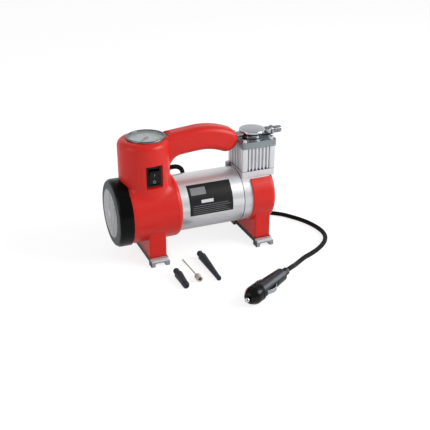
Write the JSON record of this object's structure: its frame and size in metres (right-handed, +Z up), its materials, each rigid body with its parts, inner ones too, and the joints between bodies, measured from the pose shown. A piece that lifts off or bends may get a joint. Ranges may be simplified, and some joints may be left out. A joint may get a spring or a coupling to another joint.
{
  "type": "portable air compressor",
  "caption": "Portable 12 V air pump with motor barrel, work lamp, dial gauge, rocker switch, arched carrying handle, finned cylinder, coiled cord with plug and nozzle adapters.",
  "frame": {"origin": "on the floor under the motor axis, 1.5 mm left of the middle between the two foot rails", "axes": "+X along the motor axis from the lamp to the cylinder, +Y away from the switch, +Z up"},
  "size_m": [0.2367, 0.2655, 0.1358],
  "materials": {
    "red_plastic": "glossy moulded",
    "black_gloss": "glossy moulded",
    "black_matte": "matt moulded",
    "black_rubber": "matt",
    "adapter_plastic": "satin moulded",
    "clear_lens": "clear",
    "bulb_glass": "clear",
    "mirror_coat": "bright",
    "dial_white": "printed",
    "needle_black": "matt",
    "brass": "bare",
    "silver_ring": "satin",
    "silver_paint": "silver, satin",
    "aluminium": "bare, satin",
    "chrome": "polished",
    "nickel": "satin",
    "steel": "bare",
    "dark_screws": "blackened",
    "magnet": "bare",
    "fibre": "bare",
    "carbon": "bare"
  },
  "bodies": {
    "pump": {"housing_front": "red_plastic", "housing_back": "red_plastic", "housing_screws": "dark_screws", "lamp_bezel": "black_gloss", "lamp_lens": "clear_lens", "lamp_reflector": "mirror_coat", "lamp_bulb": "bulb_glass", "lamp_socket": "black_matte", "gauge_case": "silver_ring", "gauge_dial": "dial_white", "gauge_movement": "brass", "gauge_lens": "clear_lens", "gauge_bezel": "silver_ring", "gauge_tube": "brass", "gauge_nipple": "chrome", "switch_body": "black_gloss", "motor_tube": "silver_paint", "field_magnets": "magnet", "rear_end_bell": "aluminium", "rear_bearing": "steel", "front_bearing": "steel", "brush_plate": "fibre", "carbon_brushes": "carbon", "crankcase": "silver_paint", "crankcase_cover": "red_plastic", "cover_screws": "dark_screws", "base_gasket": "fibre", "cylinder_block": "aluminium", "valve_plate": "aluminium", "cylinder_head": "aluminium", "head_screws": "chrome", "head_cap": "chrome", "outlet_fitting": "chrome", "foot_rail_left": "silver_paint", "foot_rail_right": "silver_paint", "foot_pads": "black_rubber", "foot_screws": "dark_screws", "cord_boot": "black_rubber", "power_cord_lead": "black_rubber", "power_cord_coil": "black_rubber", "power_cord_tail": "black_rubber", "cord_tie": "black_matte", "plug_body": "black_matte", "plug_cap": "black_gloss", "plug_contacts": "chrome", "nozzle_short": "adapter_plastic", "nozzle_long": "adapter_plastic", "ball_needle": "nickel"},
    "rotor": {"motor_shaft": "steel", "armature_core": "steel", "armature_windings": "brass", "commutator": "brass", "crank_disc": "steel"},
    "piston": {"piston": "aluminium", "piston_ring": "carbon", "wrist_pin": "steel"},
    "rod": {"connecting_rod": "aluminium"},
    "rocker": {"switch_rocker": "black_gloss"},
    "needle": {"gauge_needle": "needle_black"},
    "plug_contact": {"plug_tip": "chrome"}
  },
  "joints": [
    {"name": "rotor_spin", "type": "hinge", "parent": "pump", "child": "rotor", "pos_m": [0, 0, 0.053], "axis": [1, 0, 0], "continuous": true},
    {"name": "piston_stroke", "type": "slide", "parent": "pump", "child": "piston", "axis": [0, 0, 1], "range_m": [0, 0.014]},
    {"name": "rod_swing", "type": "hinge", "parent": "piston", "child": "rod", "pos_m": [0.0595, 0, 0.086], "axis": [1, 0, 0], "range_deg": [-10, 10]},
    {"name": "rocker_tilt", "type": "hinge", "parent": "pump", "child": "rocker", "pos_m": [-0.0585, -0.0207, 0.0962], "axis": [-1, 0, 0], "range_deg": [0, 16]},
    {"name": "needle_turn", "type": "hinge", "parent": "pump", "child": "needle", "pos_m": [-0.0585, 0, 0.126], "axis": [0, 0, -1], "range_deg": [0, 270], "stiffness_Nm_per_rad": 0.00005},
    {"name": "plug_press", "type": "slide", "parent": "pump", "child": "plug_contact", "axis": [0.859, 0.512, 0], "range_m": [0, 0.0025], "stiffness_N_per_m": 600}
  ]
}
